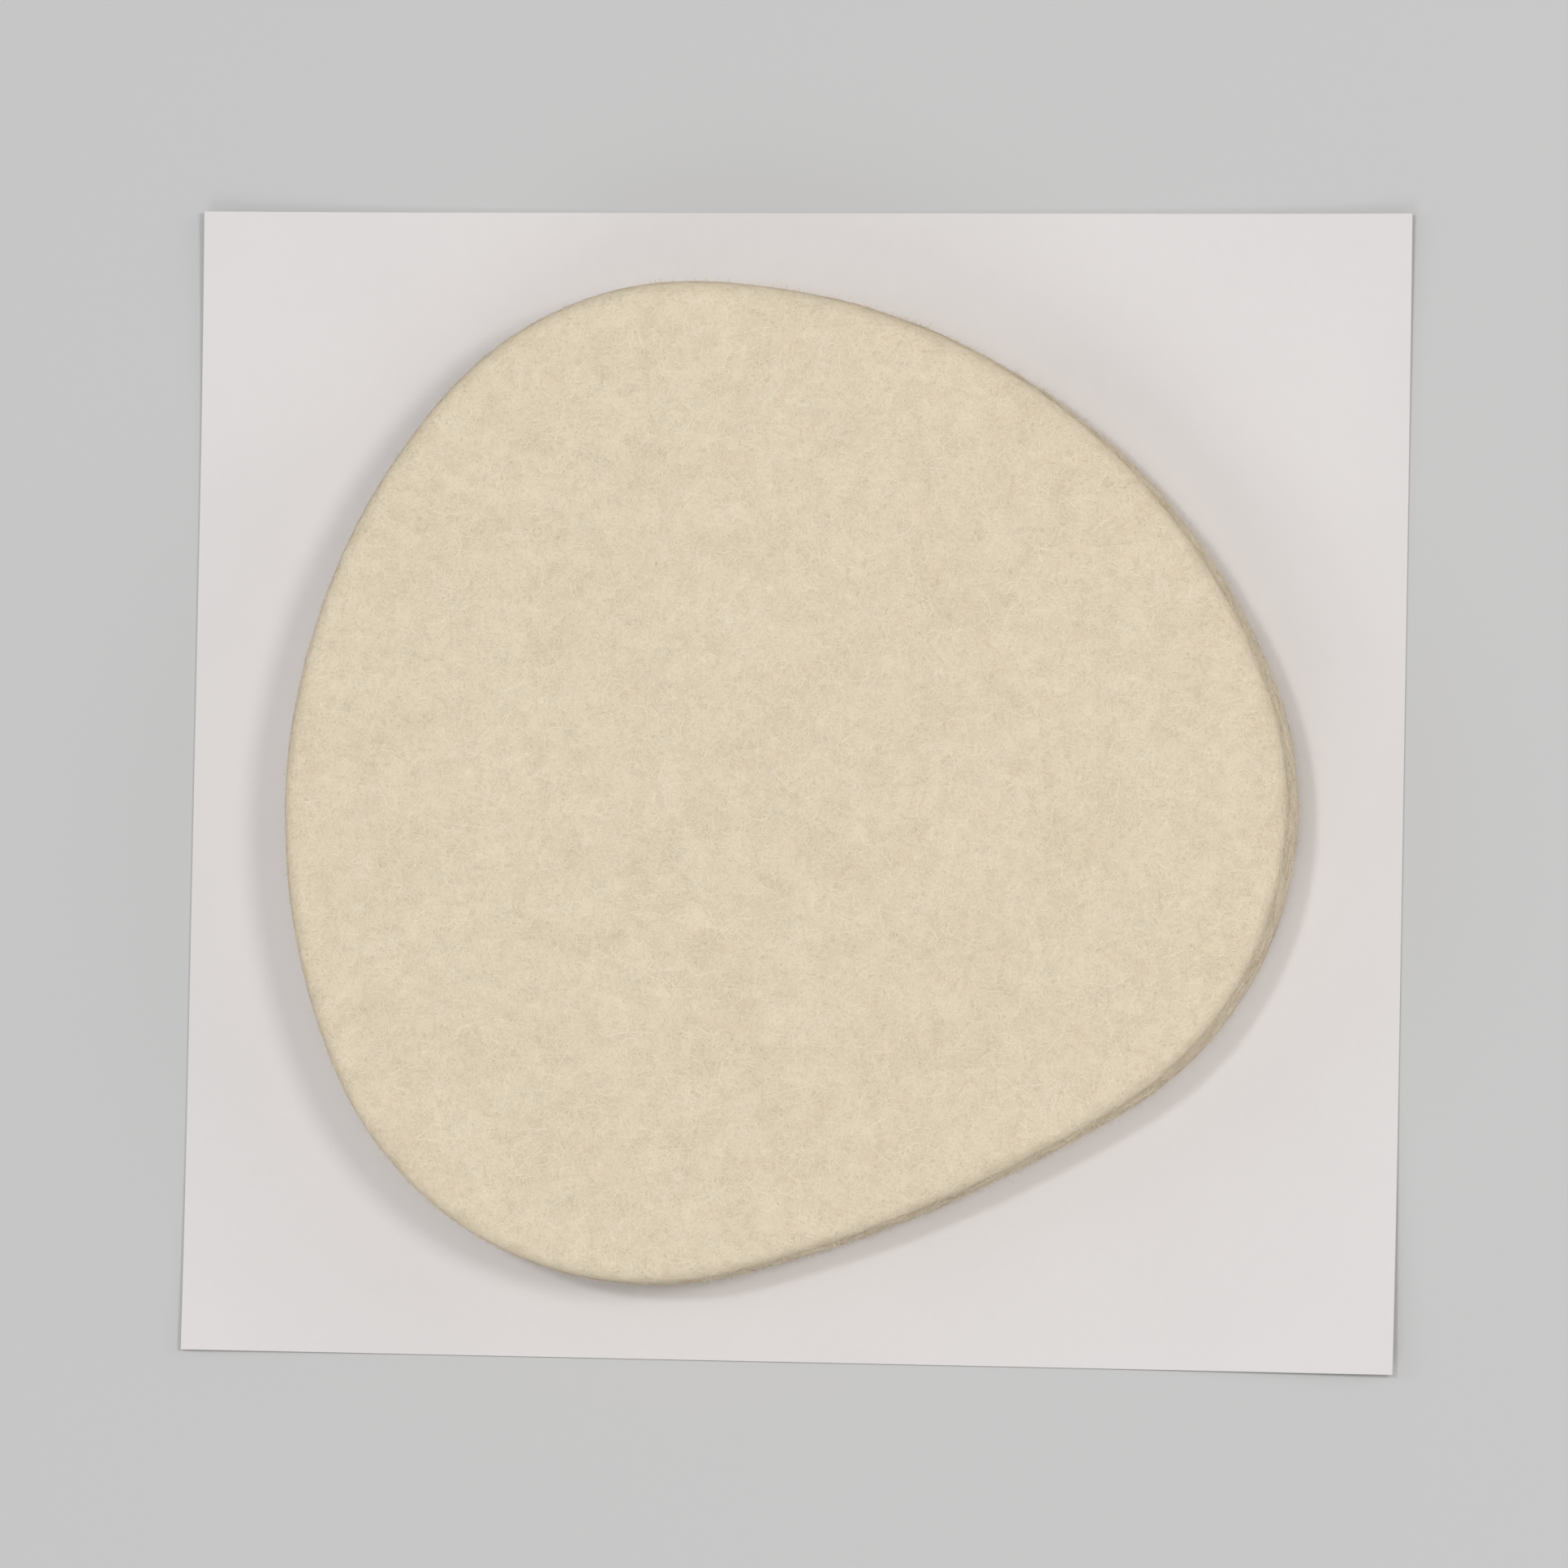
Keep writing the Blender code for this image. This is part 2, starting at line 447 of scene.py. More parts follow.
def curly_plans(rng, starts, lengths, steps):
    """Curly lines in the plan, each with its middle at its start."""
    count = len(starts)
    progress = np.linspace(0, 1, steps)
    heading = SWIRL_TURN * SWIRLS(with_height(starts, 0.0))[:, None]
    heading = heading + rng.normal(0, SWIRL_SPREAD, (count, 1))
    for waves, bend in FIBRE_CURLS:
        rate = waves * rng.uniform(*CURL_RATES, (count, 1))
        phase = rng.uniform(0, math.tau, (count, 1))
        strength = bend * rng.normal(1, CURL_SPREAD, (count, 1))
        heading = heading + strength * np.sin(math.tau * rate * progress + phase)
    moves = (lengths[:, None] / (steps - 1))[..., None] * spoke(heading)
    line = np.cumsum(moves, axis=1)
    line -= line.mean(axis=1, keepdims=True)
    return starts[:, None, :] + line


def weaving_lift(rng, count, steps, highest):
    """Heights of fibres that run in and out of the felt's surface."""
    progress = np.linspace(0, 1, steps)
    rate = rng.uniform(*WEAVE_RATES, (count, 1))
    phase = rng.uniform(0, math.tau, (count, 1))
    crest = highest * rng.random((count, 1)) ** CREST_POWER
    wave = np.sin(math.tau * rate * progress + phase)
    lift = crest * (1 - WEAVE_DEPTH + WEAVE_DEPTH * wave)
    dive = np.abs(2 * progress - 1) ** DIVE_POWER * (crest + FIBRE_SINK)
    return lift + FIBRE_CLEARANCE - dive


TOP_FIBRES = 9500
TOP_FIBRE_STEPS = 9
TOP_FIBRE_HEIGHT = 0.035 * MM
TOP_FIBRE_LENGTHS = (1.4 * MM, 4.2 * MM)
TOP_FIBRE_WIDTHS = (0.022 * MM, 0.045 * MM)
# A few have one free end that stands clear
FREE_ENDS = 0.04
FREE_RISES = (0.05 * MM, 0.25 * MM)
FREE_POWER = 3


def top_fibres(name, seed, materials):
    """Fibres matted into the felt's top."""
    rng = np.random.default_rng(seed)
    count = TOP_FIBRES
    angle = rng.uniform(0, math.tau, count)
    share = np.sqrt(rng.random(count))
    starts = plan_at(angle, share * TOP_OUTLINE.radius(angle))
    lengths = rng.uniform(*TOP_FIBRE_LENGTHS, count)
    plans = curly_plans(rng, starts, lengths, TOP_FIBRE_STEPS)
    lift = weaving_lift(rng, count, TOP_FIBRE_STEPS, TOP_FIBRE_HEIGHT)
    free = rng.random((count, 1)) < FREE_ENDS
    rise = rng.uniform(*FREE_RISES, (count, 1))
    lift = lift + free * rise * np.linspace(0, 1, TOP_FIBRE_STEPS) ** FREE_POWER
    paths, ups = draped(plans, lift)
    width = rng.uniform(*TOP_FIBRE_WIDTHS, count)
    tints = tint_numbers(rng, paths, TINT_PATCHES)
    return flat_strands(name, paths, ups, width, materials, tints)


RIM_FIBRES = 6500
RIM_FIBRE_STEPS = 8
# Bands are distances past the top outline, on the unrolled plan
RIM_FIBRE_BAND = (-1.2 * MM, RIM_LENGTH + 0.8 * MM)
RIM_FIBRE_LENGTHS = (0.7 * MM, 2.0 * MM)
RIM_FIBRE_WIDTHS = (0.020 * MM, 0.038 * MM)


def rim_fibres(name, seed, materials):
    """Short fibres matted round the felt's rim."""
    rng = np.random.default_rng(seed)
    count = RIM_FIBRES
    angle = rng.uniform(0, math.tau, count)
    past = rng.uniform(*RIM_FIBRE_BAND, count)
    starts = plan_at(angle, TOP_OUTLINE.radius(angle) + past)
    lengths = rng.uniform(*RIM_FIBRE_LENGTHS, count)
    plans = curly_plans(rng, starts, lengths, RIM_FIBRE_STEPS)
    lift = weaving_lift(rng, count, RIM_FIBRE_STEPS, TOP_FIBRE_HEIGHT)
    paths, ups = draped(plans, lift)
    width = rng.uniform(*RIM_FIBRE_WIDTHS, count)
    tints = tint_numbers(rng, paths, TINT_PATCHES)
    return flat_strands(name, paths, ups, width, materials, tints)


WALL_FIBRES = 9000
WALL_FIBRE_STEPS = 7
WALL_FIBRE_HEIGHT = 0.05 * MM
WALL_FIBRE_BAND = (0.5 * RIM_LENGTH, RIM_LENGTH + WALL_HEIGHT)
WALL_FIBRE_LENGTHS = (0.5 * MM, 2.2 * MM)
WALL_FIBRE_WIDTHS = (0.025 * MM, 0.055 * MM)
WALL_FIBRE_SLOPE = 0.25
WALL_FIBRE_SWAY = 0.10 * MM
# None comes nearer than this to the wall's bottom edge
WALL_FIBRE_MARGIN = 0.05 * MM


def wall_fibres(name, seed, materials):
    """Fibres along the cut wall, mostly level, as the felt's layers lie."""
    rng = np.random.default_rng(seed)
    count = WALL_FIBRES
    angle = rng.uniform(0, math.tau, count)
    past = rng.uniform(*WALL_FIBRE_BAND, count)
    length = rng.uniform(*WALL_FIBRE_LENGTHS, count)
    progress = np.linspace(0, 1, WALL_FIBRE_STEPS) - 0.5
    slope = rng.normal(0, WALL_FIBRE_SLOPE, (count, 1))
    sway = rng.normal(0, WALL_FIBRE_SWAY, (count, 1))
    phase = rng.uniform(0, math.tau, (count, 1))
    along = length[:, None] * progress
    angles = angle[:, None] + along / TOP_OUTLINE.radius(angle)[:, None]
    drop = past[:, None] + slope * along + sway * np.sin(math.tau * progress + phase)
    drop = np.clip(drop, 0, RIM_LENGTH + WALL_HEIGHT - WALL_FIBRE_MARGIN)
    plans = plan_at(angles, TOP_OUTLINE.radius(angles) + drop)
    lift = weaving_lift(rng, count, WALL_FIBRE_STEPS, WALL_FIBRE_HEIGHT)
    paths, ups = draped(plans, lift)
    width = rng.uniform(*WALL_FIBRE_WIDTHS, count)
    tints = tint_numbers(rng, paths, WALL_TINT_PATCHES)
    return flat_strands(name, paths, ups, width, materials, tints)


# Free hairs are mostly short, with a tail of longer ones
HAIR_LENGTH_SHAPE = 2.0
# They stay this far over the card
HAIR_CLEARANCE = 0.05 * MM


def hair_lengths(rng, count, shortest, spread, longest):
    longer = rng.gamma(HAIR_LENGTH_SHAPE, spread, count)
    return np.minimum(shortest + longer, longest)


def standing_paths(rng, roots, outward, lengths, steps, lean, curl):
    """Curved free fibres from their roots, leaning away from straight outwards."""
    count = len(roots)
    first = unit(outward + rng.normal(0, lean, (count, 3)))
    last = unit(first + rng.normal(0, curl, (count, 3)))
    progress = np.linspace(0, 1, steps)
    straight = first[:, None] * (progress - progress**2 / 2)[None, :, None]
    turned = last[:, None] * (progress**2 / 2)[None, :, None]
    paths = roots[:, None] + lengths[:, None, None] * (straight + turned)
    paths[..., 2] = np.maximum(paths[..., 2], CARD_HIGH.z + HAIR_CLEARANCE)
    return paths


EDGE_FUZZ = 7000
FUZZ_STEPS = 5
FUZZ_BAND = (-0.8 * MM, RIM_LENGTH + 0.97 * WALL_HEIGHT)
FUZZ_SHORTEST = 0.12 * MM
FUZZ_SPREAD = 0.12 * MM
RIM_FUZZ_LONGEST = 0.45 * MM
WALL_FUZZ_LONGEST = 1.1 * MM
FUZZ_LEAN = 0.75
FUZZ_CURL = 0.8
FUZZ_RADII = (0.009 * MM, 0.016 * MM)


def edge_fuzz(name, seed, materials):
    """Short hairs that stand out of the rim and the cut wall."""
    rng = np.random.default_rng(seed)
    count = EDGE_FUZZ
    angle = rng.uniform(0, math.tau, count)
    past = rng.uniform(*FUZZ_BAND, count)
    plans = plan_at(angle, TOP_OUTLINE.radius(angle) + past)
    roots, outward = draped(plans, np.full(count, -FIBRE_SINK))
    longest = np.where(past < RIM_LENGTH, RIM_FUZZ_LONGEST, WALL_FUZZ_LONGEST)
    lengths = hair_lengths(rng, count, FUZZ_SHORTEST, FUZZ_SPREAD, longest)
    paths = standing_paths(rng, roots, outward, lengths, FUZZ_STEPS, FUZZ_LEAN, FUZZ_CURL)
    aside = rng.normal(size=(count, 1, 3))
    radius = rng.uniform(*FUZZ_RADII, count)
    tints = tint_numbers(rng, paths, TINT_PATCHES)
    return hairs(name, paths, aside, radius, materials, tints)


TOP_NAP = 4500
NAP_STEPS = 4
NAP_SHORTEST = 0.08 * MM
NAP_SPREAD = 0.07 * MM
NAP_LONGEST = 0.5 * MM
NAP_LEAN = 1.4
NAP_CURL = 1.0
NAP_RADII = (0.008 * MM, 0.014 * MM)


def top_nap(name, seed, materials):
    """Very short free ends over the whole top."""
    rng = np.random.default_rng(seed)
    count = TOP_NAP
    angle = rng.uniform(0, math.tau, count)
    reach = np.sqrt(rng.random(count)) * TOP_OUTLINE.radius(angle)
    roots, outward = draped(plan_at(angle, reach), np.full(count, -FIBRE_SINK))
    lengths = hair_lengths(rng, count, NAP_SHORTEST, NAP_SPREAD, NAP_LONGEST)
    paths = standing_paths(rng, roots, outward, lengths, NAP_STEPS, NAP_LEAN, NAP_CURL)
    paths[..., 2] = np.maximum(paths[..., 2], roots[:, None, 2])
    aside = rng.normal(size=(count, 1, 3))
    radius = rng.uniform(*NAP_RADII, count)
    tints = tint_numbers(rng, paths, TINT_PATCHES)
    return hairs(name, paths, aside, radius, materials, tints)


# How far each corner of the card lifts: (x side, y side, lift, reach inwards)
CORNER_LIFTS = (
    (1, -1, 0.75 * MM, 22 * MM),
    (-1, -1, 0.35 * MM, 18 * MM),
    (1, 1, 0.45 * MM, 20 * MM),
    (-1, 1, 0.60 * MM, 22 * MM),
)
CARD_STEP = 1.2 * MM
CARD_EDGE_ROUND = 0.035 * MM
CARD_EDGE_STEPS = 2
CARD_EDGE_ANGLE = math.radians(50)


def card_lift(x, y):
    """How high the card's underside lies over the floor."""
    lift = 0.0
    for x_side, y_side, height, reach in CORNER_LIFTS:
        corner_x = CARD_HIGH.x if x_side > 0 else CARD_LOW.x
        corner_y = CARD_HIGH.y if y_side > 0 else CARD_LOW.y
        away = abs(x - corner_x) + abs(y - corner_y)
        lift += height * max(0.0, 1 - away / reach) ** 2
    return lift


def release_card(material):
    """A thin sheet with a smooth face, nearly flat, with a fine rounded edge."""
    width, depth = CARD_HIGH.x - CARD_LOW.x, CARD_HIGH.y - CARD_LOW.y
    shape = bmesh.new()
    # A unit square, which is laid over the card's upper face
    bmesh.ops.create_grid(
        shape,
        x_segments=round(width / CARD_STEP),
        y_segments=round(depth / CARD_STEP),
        size=0.5,
    )
    middle = (CARD_LOW + CARD_HIGH) / 2
    for vertex in shape.verts:
        x = middle.x + vertex.co.x * width
        y = middle.y + vertex.co.y * depth
        vertex.co = (x, y, CARD_HIGH.z + card_lift(x, y))
    mesh = bpy.data.meshes.new("release_card_sheet")
    shape.to_mesh(mesh)
    shape.free()
    mesh.shade_smooth()
    mesh.materials.append(material)
    piece = linked("release_card_sheet", mesh)
    board = piece.modifiers.new("Board", "SOLIDIFY")
    board.thickness = CARD_HIGH.z - CARD_LOW.z
    board.offset = -1.0
    edge = piece.modifiers.new("Cut edge", "BEVEL")
    edge.width = CARD_EDGE_ROUND
    edge.segments = CARD_EDGE_STEPS
    edge.limit_method = "ANGLE"
    edge.angle_limit = CARD_EDGE_ANGLE
    edge.harden_normals = True
    return piece


FILM_RING = 360
# Points of the solid film that agree to this many decimals are one
FILM_DECIMALS = 7
# The adhesive creeps this far past the plain film, almost to the felt's edge
FILM_CREEP = 0.25 * MM
FILM_WOBBLE = Ripple(41, 4.0 * MM)
FILM_WOBBLE_WIDTH = 0.03 * MM
FILM_SWELL = 0.03 * MM


def adhesive_layer(material):
    """The adhesive between the felt and the card, with a slightly uneven edge."""
    film = node_points("adhesive_film")[:, :2]
    outline = Outline(np.unique(np.round(film, FILM_DECIMALS), axis=0), FELT_CENTRE)
    angle = even_angles(FILM_RING)
    outward = outline.normal(angle)
    edge = outline.point(angle)
    creep = FILM_CREEP + FILM_WOBBLE_WIDTH * FILM_WOBBLE(with_height(edge, 0.0))
    edge = edge + creep[:, None] * outward
    low, high = CARD_HIGH.z + TOUCHING, FILM_TOP
    rings = (
        with_height(edge, high),
        with_height(edge + FILM_SWELL * outward, (low + high) / 2),
        with_height(edge, low),
    )
    points = np.concatenate([*rings, [[*FELT_CENTRE, high], [*FELT_CENTRE, low]]])
    index = np.arange(len(rings) * FILM_RING).reshape(len(rings), FILM_RING)
    sides = [quads_between(index[i], index[i + 1]) for i in range(len(rings) - 1)]
    over, under = index.size, index.size + 1
    caps = fan(over, index[0]) + fan(under, index[-1][::-1])
    faces = np.concatenate(sides).tolist() + caps
    return mesh_object("adhesive_layer", points, faces, [material])


class Graph:
    """One material's nodes.  A socket given as an input value is linked."""

    def __init__(self, name):
        self.material = bpy.data.materials.new(name)
        self.material.use_nodes = True
        self.tree = self.material.node_tree
        self.shader = self.tree.nodes["Principled BSDF"]

    def feed(self, socket, value):
        if isinstance(value, bpy.types.NodeSocket):
            self.tree.links.new(value, socket)
        else:
            socket.default_value = value

    def node(self, kind, inputs, **settings):
        made = self.tree.nodes.new(kind)
        for key, value in settings.items():
            setattr(made, key, value)
        for key, value in inputs.items():
            self.feed(made.inputs[key], value)
        return made

    def set(self, **values):
        """Sets the shader's own sockets, whose names are written with _ for a space."""
        for key, value in values.items():
            self.feed(self.shader.inputs[key.replace("_", " ")], value)

    def place(self):
        return self.node("ShaderNodeTexCoord", {}).outputs["Object"]

    def noise_node(self, vector, size, detail, roughness):
        inputs = {
            "Vector": vector,
            "Scale": 1.0 / size,
            "Detail": detail,
            "Roughness": roughness,
        }
        return self.node("ShaderNodeTexNoise", inputs)

    def noise(self, vector, size, detail=2.0, roughness=0.5):
        """Noise whose main features are about size metres across, from 0 to 1."""
        return self.noise_node(vector, size, detail, roughness).outputs["Fac"]

    def math(self, operation, *values):
        inputs = dict(enumerate(values))
        return self.node("ShaderNodeMath", inputs, operation=operation).outputs[0]

    def vector(self, operation, *values):
        inputs = dict(enumerate(values))
        made = self.node("ShaderNodeVectorMath", inputs, operation=operation)
        return made.outputs["Vector"]

    def remap(self, value, low, high, to_low=0.0, to_high=1.0):
        inputs = {
            "Value": value,
            "From Min": low,
            "From Max": high,
            "To Min": to_low,
            "To Max": to_high,
        }
        return self.node("ShaderNodeMapRange", inputs, clamp=True).outputs["Result"]

    def mix(self, share, first, second):
        """A colour between two, through the mix node's sockets for colours."""
        inputs = {0: share, 6: first, 7: second}
        return self.node("ShaderNodeMix", inputs, data_type="RGBA").outputs[2]

    def bump(self, height, distance, strength=1.0, normal=None):
        inputs = {"Height": height, "Distance": distance, "Strength": strength}
        if normal is not None:
            inputs["Normal"] = normal
        return self.node("ShaderNodeBump", inputs).outputs["Normal"]


# Noise lies about its middle, and mostly within one of these spans
NOISE_MIDDLE = 0.5
NOISE_SPAN = (0.35, 0.65)
ROUGH_NOISE_SPAN = (0.30, 0.70)

FELT_LIGHT = (0.873, 0.761, 0.577, 1.0)
FELT_MID = (0.825, 0.708, 0.524, 1.0)
FELT_DARK = (0.747, 0.626, 0.446, 1.0)
FELT_FLECK = (0.621, 0.495, 0.330, 1.0)
# Fine streaks, drawn out along X and then turned by these degrees
STREAK_TURNS = (12, 71, 128)
STREAK_WIDTH = 0.11 * MM
STREAK_SQUEEZE = (0.07, 1.0, 0.5)
# A streak ends where the noise is this far from its middle
STREAK_CREST = 0.10
# They bend aside over about this size, within about this width
STREAK_WANDER_SIZE = 2.2 * MM
STREAK_WANDER_WIDTH = 1.6 * MM
# Mottling, from broad to fine, and each one's share of the tone
CLOUD_SIZE = 7.0 * MM
CLOUD_SHARE = 0.30
MOTTLE_SIZE = 0.9 * MM
MOTTLE_SHARE = 0.40
GRAIN_SIZE = 0.22 * MM
GRAIN_SHARE = 0.30
# Level layers, thinner in height than in plan, with darker seams
LAYER_SIZE = 4.0 * MM
LAYER_SQUEEZE = (1.0, 1.0, 6.0)
SEAM_SPAN = (0.52, 0.40)
SEAM_SHARE = 0.35
# Painted shade: the recesses between the streaks, which lie lower in the bump, are
# darkened
HOLLOW_SHADE_SHARE = 0.16
# A few small brown flecks, where the mottling is strong
FLECK_SPACING = 4.5 * MM
FLECK_EDGE = (0.025, 0.06)
FLECK_SPAN = (0.45, 0.60)
FLECK_SHARE = 0.45
# Heights of the bump, and how strongly each kind of mottling shows in it
FINE_BUMP = 0.05 * MM
FINE_BUMP_STRENGTH = 0.9
STREAK_HEIGHT = 0.5
GRAIN_HEIGHT = 0.5
COARSE_BUMP = 0.06 * MM
COARSE_BUMP_STRENGTH = 0.4
LAYER_HEIGHT = 0.8
FELT_ROUGHNESS = (0.88, 1.0)
FELT_SHEEN = 0.20
FIBRE_ROUGHNESS = 0.85
FIBRE_SHEEN = 0.15
# What felt and single fibres share
WOOL = {
    "Specular_IOR_Level": 0.15,
    "Sheen_Roughness": 0.6,
    "Sheen_Tint": (1.0, 0.95, 0.86, 1.0),
}


def felt_streaks(graph, place):
    """Fine lines in several directions, as matted fibres make."""
    wander = graph.noise_node(place, STREAK_WANDER_SIZE, 1.0, 0.5).outputs["Color"]
    shift = graph.vector("ADD", wander, (-NOISE_MIDDLE,) * 3)
    shift = graph.vector("MULTIPLY", shift, (STREAK_WANDER_WIDTH,) * 3)
    bent = graph.vector("ADD", place, shift)
    total = None
    for turn in STREAK_TURNS:
        turned = graph.node(
            "ShaderNodeVectorRotate",
            {"Vector": bent, "Angle": math.radians(turn)},
            rotation_type="Z_AXIS",
        ).outputs[0]
        stretched = graph.vector("MULTIPLY", turned, STREAK_SQUEEZE)
        lines = graph.noise(stretched, STREAK_WIDTH, detail=1.5, roughness=0.6)
        apart = graph.math("ABSOLUTE", graph.math("SUBTRACT", lines, NOISE_MIDDLE))
        crest = graph.remap(apart, 0.0, STREAK_CREST, 1.0, 0.0)
        total = crest if total is None else graph.math("MAXIMUM", total, crest)
    return total


def felt_material():
    graph = Graph("Cream pressed felt")
    place = graph.place()
    streaks = felt_streaks(graph, place)
    cloud = graph.noise(place, CLOUD_SIZE)
    flattened = graph.vector("MULTIPLY", place, LAYER_SQUEEZE)
    layers = graph.noise(flattened, LAYER_SIZE, detail=3.0, roughness=0.6)
    mottle = graph.noise(place, MOTTLE_SIZE, roughness=0.6)
    grain = graph.noise(place, GRAIN_SIZE, roughness=0.7)

    tone = graph.math("MULTIPLY", graph.remap(cloud, *NOISE_SPAN), CLOUD_SHARE)
    spread = graph.remap(mottle, *NOISE_SPAN)
    tone = graph.math("MULTIPLY_ADD", spread, MOTTLE_SHARE, tone)
    spread = graph.remap(grain, *ROUGH_NOISE_SPAN)
    tone = graph.math("MULTIPLY_ADD", spread, GRAIN_SHARE, tone)
    colour = graph.mix(tone, FELT_MID, FELT_LIGHT)
    seam = graph.math("MULTIPLY", graph.remap(layers, *SEAM_SPAN), SEAM_SHARE)
    colour = graph.mix(seam, colour, FELT_DARK)
    # Painted shade: off the streaks' crests the colour darkens towards FELT_DARK
    between = graph.math("SUBTRACT", 1.0, streaks)
    hollow_shade = graph.math("MULTIPLY", between, HOLLOW_SHADE_SHARE)
    colour = graph.mix(hollow_shade, colour, FELT_DARK)
    cells = {"Vector": place, "Scale": 1 / FLECK_SPACING}
    centre_distance = graph.node("ShaderNodeTexVoronoi", cells).outputs["Distance"]
    fleck = graph.remap(centre_distance, *FLECK_EDGE, 1.0, 0.0)
    fleck = graph.math("MULTIPLY", fleck, graph.remap(mottle, *FLECK_SPAN))
    fleck = graph.math("MULTIPLY", fleck, FLECK_SHARE)
    colour = graph.mix(fleck, colour, FELT_FLECK)

    height = graph.math("MULTIPLY", streaks, STREAK_HEIGHT)
    height = graph.math("MULTIPLY_ADD", grain, GRAIN_HEIGHT, height)
    fine = graph.bump(height, FINE_BUMP, FINE_BUMP_STRENGTH)
    coarse = graph.math("MULTIPLY_ADD", layers, LAYER_HEIGHT, mottle)
    graph.set(
        Base_Color=colour,
        Roughness=graph.remap(grain, *ROUGH_NOISE_SPAN, *FELT_ROUGHNESS),
        Normal=graph.bump(coarse, COARSE_BUMP, COARSE_BUMP_STRENGTH, fine),
        Sheen_Weight=FELT_SHEEN,
        **WOOL,
    )
    return graph.material


def fibre_materials():
    """A plain material for each tint."""
    made = []
    for number, tint in enumerate(FIBRE_TINTS, 1):
        graph = Graph(f"Felt fibre {number}")
        graph.set(
            Base_Color=tint, Roughness=FIBRE_ROUGHNESS, Sheen_Weight=FIBRE_SHEEN, **WOOL
        )
        made.append(graph.material)
    return made


CARD_WHITE = (0.745, 0.708, 0.694, 1.0)
CARD_SHADE = (0.715, 0.680, 0.668, 1.0)
# The paper core's tone on the cut edge, made lighter than the face as painted light on the
# shaded edge
CARD_CORE_AND_PAINTED_LIGHT = (0.760, 0.735, 0.700, 1.0)
# Faint mottling of the paper, and each one's share of the tone
CARD_CLOUD_SIZE = 16.0 * MM
CARD_CLOUD_SHARE = 0.55
PULP_SIZE = 0.7 * MM
PULP_SHARE = 0.45
# How level a face is: cut edge below the first, none of it above the second
CUT_FACING = (0.3, 0.9)
CARD_ROUGHNESS = (0.40, 0.50)
CUT_EXTRA_ROUGHNESS = 0.4
# The face waves very slightly, and shows a trace of the pulp
CALENDER_SIZE = 5.0 * MM
CALENDER_BUMP = 0.05 * MM
CALENDER_BUMP_STRENGTH = 0.25
PULP_BUMP = 0.004 * MM
PULP_BUMP_STRENGTH = 0.6
CARD_SPECULAR = 0.5


def card_material():
    """Smooth coated paper: a faint mottle, a satin face and a duller cut edge, in the
    paper core's tone with painted light.
    """
    graph = Graph("White release card")
    place = graph.place()
    cloud = graph.noise(place, CARD_CLOUD_SIZE, detail=3.0)
    pulp = graph.noise(place, PULP_SIZE, detail=3.0, roughness=0.65)
    tone = graph.math("MULTIPLY", graph.remap(cloud, *NOISE_SPAN), CARD_CLOUD_SHARE)
    spread = graph.remap(pulp, *NOISE_SPAN)
    tone = graph.math("MULTIPLY_ADD", spread, PULP_SHARE, tone)
    colour = graph.mix(tone, CARD_SHADE, CARD_WHITE)

    facing = graph.node("ShaderNodeNewGeometry", {}).outputs["Normal"]
    upward = graph.node("ShaderNodeSeparateXYZ", {"Vector": facing}).outputs["Z"]
    flatness = graph.math("ABSOLUTE", upward)
    cut = graph.remap(flatness, *CUT_FACING, 1.0, 0.0)
    # Painted light: sideways faces take the lighter core colour, which is partly the
    # core's own tone
    colour = graph.mix(cut, colour, CARD_CORE_AND_PAINTED_LIGHT)

    satin = graph.remap(pulp, *ROUGH_NOISE_SPAN, *CARD_ROUGHNESS)
    calender = graph.noise(place, CALENDER_SIZE, detail=1.0)
    waves = graph.bump(calender, CALENDER_BUMP, CALENDER_BUMP_STRENGTH)
    graph.set(
        Base_Color=colour,
        Roughness=graph.math("MULTIPLY_ADD", cut, CUT_EXTRA_ROUGHNESS, satin),
        Normal=graph.bump(pulp, PULP_BUMP, PULP_BUMP_STRENGTH, waves),
        Specular_IOR_Level=CARD_SPECULAR,
    )
    return graph.material


ADHESIVE_DEEP = (0.66, 0.58, 0.43, 1.0)
ADHESIVE_PALE = (0.76, 0.69, 0.56, 1.0)
SMEAR_SIZE = 1.4 * MM
SMEAR_BUMP = 0.03 * MM
SMEAR_BUMP_STRENGTH = 0.5
ADHESIVE_ROUGHNESS = (0.22, 0.40)
ADHESIVE_SPECULAR = 0.5


def adhesive_material():
    graph = Graph("Acrylic adhesive")
    smear = graph.noise(graph.place(), SMEAR_SIZE, detail=3.0, roughness=0.6)
    spread = graph.remap(smear, *ROUGH_NOISE_SPAN)
    graph.set(
        Base_Color=graph.mix(spread, ADHESIVE_DEEP, ADHESIVE_PALE),
        Roughness=graph.remap(smear, *ROUGH_NOISE_SPAN, *ADHESIVE_ROUGHNESS),
        Normal=graph.bump(smear, SMEAR_BUMP, SMEAR_BUMP_STRENGTH),
        Specular_IOR_Level=ADHESIVE_SPECULAR,
    )
    return graph.material


FLOOR_SIZE = 8.0
# The floor lies this far under the part
FLOOR_DROP = 0.02 * MM
FLOOR_PALE = (0.60, 0.595, 0.59, 1.0)
FLOOR_FAR_PAINTED_LIGHT = (0.97, 0.97, 0.97, 1.0)
# Distances from the part where the painted light on the floor starts and ends
FLOOR_PAINTED_LIGHT_FADE = (0.30, 1.30)
FLOOR_ROUGHNESS = 0.9
FLOOR_SPECULAR = 0.2


